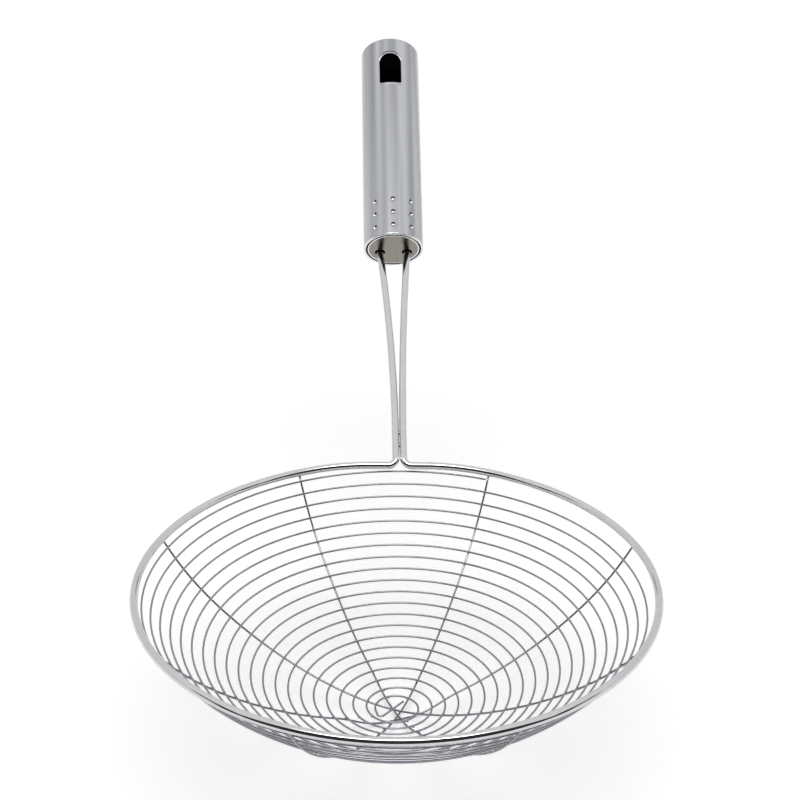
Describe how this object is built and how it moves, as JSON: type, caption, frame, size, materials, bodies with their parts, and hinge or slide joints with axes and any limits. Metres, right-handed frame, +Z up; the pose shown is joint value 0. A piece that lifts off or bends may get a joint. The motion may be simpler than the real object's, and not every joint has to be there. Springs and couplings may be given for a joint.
{
  "type": "spider skimmer",
  "caption": "Spider skimmer: a deep bowl of spiral wire on crossing rib wires, hung in a round wire ring whose ends run up a sloping neck into a tubular handle with a hanging slot.",
  "frame": {"origin": "on the ground under the middle of the whole object, level with the lowest rib wire", "axes": "+Y from the bowl towards the handle's closed end, +Z up out of the bowl, square to the level ring, +X across"},
  "size_m": [0.19, 0.3566, 0.1904],
  "materials": {
    "bright_wire": "bright drawn stainless wire",
    "satin_tube": "satin, brushed along the tube",
    "plug_metal": "satin"
  },
  "bodies": {
    "root": {"rim_and_neck_wire": "bright_wire", "spiral_wire": "bright_wire", "rib_wire_1": "bright_wire", "rib_wire_2": "bright_wire", "rib_wire_3": "bright_wire", "rib_wire_4": "bright_wire", "handle_tube": "satin_tube", "end_plug": "plug_metal"}
  },
  "joints": []
}
